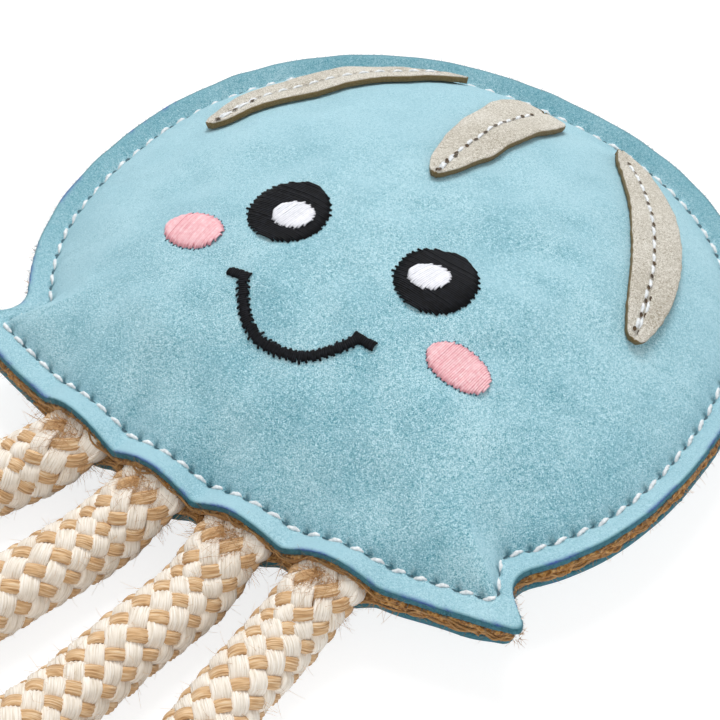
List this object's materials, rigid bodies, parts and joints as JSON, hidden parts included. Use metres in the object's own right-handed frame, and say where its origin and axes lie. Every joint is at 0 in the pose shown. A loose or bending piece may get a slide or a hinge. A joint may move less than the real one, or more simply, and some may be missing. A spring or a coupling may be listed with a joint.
{
  "type": "jellyfish dog toy",
  "caption": "Stuffed suede dog toy shaped as a jellyfish: a puffed dome with a stitched face and suede crescents, and braided rope tentacles with knotted ends.",
  "frame": {"origin": "on the surface the toy lies on, under the middle of the stuffed body", "axes": "+Z out of the face, +Y towards the crown, +X across the face"},
  "size_m": [0.2055, 0.3113, 0.0452],
  "materials": {
    "blue_suede": "napped suede",
    "taupe_suede": "napped suede",
    "jute_cloth": "coarse weave",
    "fibre_filling": "loose fibre",
    "black_thread": "satin stitch",
    "white_thread": "satin stitch",
    "pink_thread": "satin stitch",
    "braided_rope": "braided cotton and jute"
  },
  "bodies": {
    "root": {"front_panel": "blue_suede", "back_panel": "blue_suede", "front_lining": "jute_cloth", "back_lining": "jute_cloth", "stuffing": "fibre_filling", "patch_left": "taupe_suede", "patch_middle": "taupe_suede", "patch_right": "taupe_suede", "eye_left": "black_thread", "eye_right": "black_thread", "eye_glint_left": "white_thread", "eye_glint_right": "white_thread", "cheek_left": "pink_thread", "cheek_right": "pink_thread", "smile": "black_thread", "rope_1": "braided_rope", "rope_2": "braided_rope", "rope_3": "braided_rope", "rope_4": "braided_rope", "knot_1": "braided_rope", "knot_2": "braided_rope", "knot_3": "braided_rope", "knot_4": "braided_rope"}
  },
  "joints": []
}
